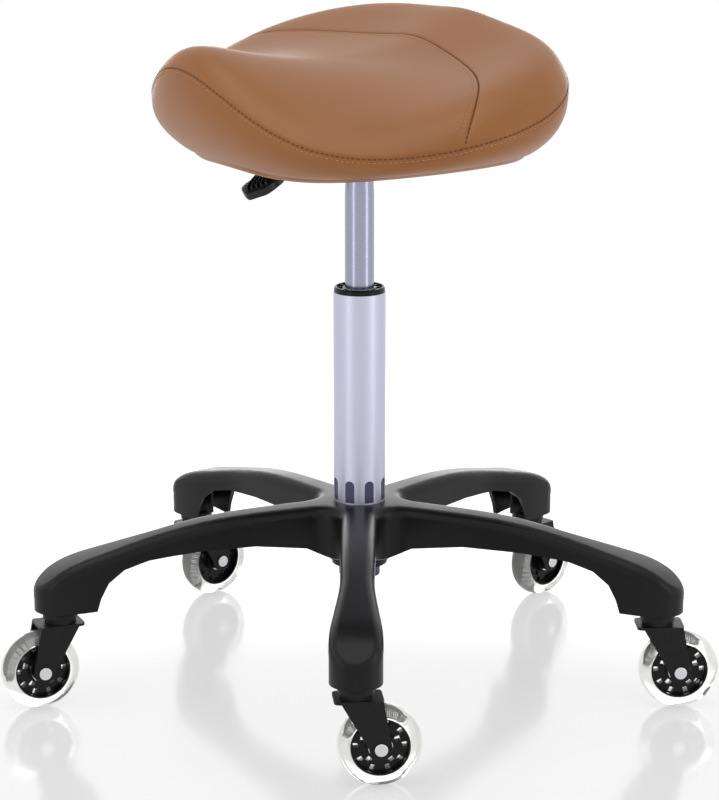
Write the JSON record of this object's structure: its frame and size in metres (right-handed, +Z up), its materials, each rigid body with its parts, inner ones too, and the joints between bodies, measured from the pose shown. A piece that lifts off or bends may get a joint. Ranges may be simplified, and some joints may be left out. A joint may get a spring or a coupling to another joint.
{
  "type": "saddle stool",
  "caption": "Rolling stool with an upholstered saddle seat, gas-lift column, star base and swivel casters.",
  "frame": {"origin": "on the floor, under the middle of the stool's bounding box, casters as in the picture", "axes": "+Z up along the column, -Y towards the seat's raised nose"},
  "size_m": [0.61, 0.6838, 0.6466],
  "materials": {
    "nylon": "satin, moulded",
    "satin_steel": "satin",
    "black_plastic": "satin, moulded",
    "steel": "ground",
    "rubber": "matte",
    "chrome": "satin chrome",
    "painted_steel": "satin black powder coat",
    "zinc": "bright zinc plate",
    "plywood": "raw",
    "dust_cloth": "matte non-woven",
    "foam": "open cell",
    "leather": "smooth caramel-brown coated hide",
    "clear_tyre": "clear soft polyurethane"
  },
  "bodies": {
    "base": {"star_base": "nylon", "outer_tube": "satin_steel", "guide_bush": "black_plastic", "thrust_bearing": "steel", "caster_stems": "zinc"},
    "rod": {"piston_rod": "steel", "piston": "steel", "thrust_washer": "steel", "rubber_bumper": "rubber", "retaining_clip": "steel"},
    "seat": {"lift_tube": "chrome", "rod_gland": "steel", "valve_body": "steel", "seat_plate": "painted_steel", "taper_socket": "painted_steel", "lever_pin": "steel", "seat_bolts": "zinc", "bolt_washers": "zinc", "tee_nuts": "zinc", "seat_board": "plywood", "dust_cover": "dust_cloth", "seat_foam": "foam", "nose_panel": "leather", "rear_panel": "leather", "boxing": "leather"},
    "lever": {"lever_rod": "painted_steel", "lever_paddle": "black_plastic"},
    "release": {"release_pin": "steel"},
    "caster_1": {"fork_1": "painted_steel", "swivel_race_1": "painted_steel", "axle_1": "zinc"},
    "wheel_1": {"wheel_hub_1": "nylon", "tyre_1": "clear_tyre", "bearings_1": "steel"},
    "caster_2": {"fork_2": "painted_steel", "swivel_race_2": "painted_steel", "axle_2": "zinc"},
    "wheel_2": {"wheel_hub_2": "nylon", "tyre_2": "clear_tyre", "bearings_2": "steel"},
    "caster_3": {"fork_3": "painted_steel", "swivel_race_3": "painted_steel", "axle_3": "zinc"},
    "wheel_3": {"wheel_hub_3": "nylon", "tyre_3": "clear_tyre", "bearings_3": "steel"},
    "caster_4": {"fork_4": "painted_steel", "swivel_race_4": "painted_steel", "axle_4": "zinc"},
    "wheel_4": {"wheel_hub_4": "nylon", "tyre_4": "clear_tyre", "bearings_4": "steel"},
    "caster_5": {"fork_5": "painted_steel", "swivel_race_5": "painted_steel", "axle_5": "zinc"},
    "wheel_5": {"wheel_hub_5": "nylon", "tyre_5": "clear_tyre", "bearings_5": "steel"}
  },
  "joints": [
    {"name": "seat_swivel", "type": "hinge", "parent": "base", "child": "rod", "pos_m": [0.01782, 0.00655, 0.11], "axis": [0, 0, 1], "continuous": true},
    {"name": "seat_height", "type": "slide", "parent": "rod", "child": "seat", "axis": [0, 0, 1], "range_m": [-0.1, 0]},
    {"name": "lever_pull", "type": "hinge", "parent": "seat", "child": "lever", "pos_m": [0.00368, -0.0076, 0.5131], "axis": [-0.7071, 0.7071, 0], "range_deg": [0, 10], "stiffness_Nm_per_rad": 1.5, "springref_deg": -1.72},
    {"name": "release_press", "type": "slide", "parent": "seat", "child": "release", "axis": [0, 0, 1], "range_m": [-0.0045, 0]},
    {"name": "caster_swivel_1", "type": "hinge", "parent": "base", "child": "caster_1", "pos_m": [0.27111, -0.15234, 0.09], "axis": [0, 0, 1], "continuous": true},
    {"name": "wheel_spin_1", "type": "hinge", "parent": "caster_1", "child": "wheel_1", "pos_m": [0.28035, -0.13348, 0.038], "axis": [-0.898, 0.4399, 0], "continuous": true},
    {"name": "caster_swivel_2", "type": "hinge", "parent": "base", "child": "caster_2", "pos_m": [0.24721, 0.19834, 0.09], "axis": [0, 0, 1], "continuous": true},
    {"name": "wheel_spin_2", "type": "hinge", "parent": "caster_2", "child": "wheel_2", "pos_m": [0.25739, 0.21671, 0.038], "axis": [-0.8746, 0.4848, 0], "continuous": true},
    {"name": "caster_swivel_3", "type": "hinge", "parent": "base", "child": "caster_3", "pos_m": [-0.0937, 0.28397, 0.09], "axis": [0, 0, 1], "continuous": true},
    {"name": "wheel_spin_3", "type": "hinge", "parent": "caster_3", "child": "wheel_3", "pos_m": [-0.09828, 0.30446, 0.038], "axis": [-0.9759, -0.2181, 0], "continuous": true},
    {"name": "caster_swivel_4", "type": "hinge", "parent": "base", "child": "caster_4", "pos_m": [-0.28048, -0.01379, 0.09], "axis": [0, 0, 1], "continuous": true},
    {"name": "wheel_spin_4", "type": "hinge", "parent": "caster_4", "child": "wheel_4", "pos_m": [-0.2837, 0.00696, 0.038], "axis": [-0.9882, -0.153, 0], "continuous": true},
    {"name": "caster_swivel_5", "type": "hinge", "parent": "base", "child": "caster_5", "pos_m": [-0.05502, -0.28345, 0.09], "axis": [0, 0, 1], "continuous": true},
    {"name": "wheel_spin_5", "type": "hinge", "parent": "caster_5", "child": "wheel_5", "pos_m": [-0.0583, -0.30419, 0.038], "axis": [0.9877, -0.1564, 0], "continuous": true}
  ],
  "couplings": [
    {"joint": "release_press", "follows": "lever_pull", "m_per_rad": -0.02}
  ]
}
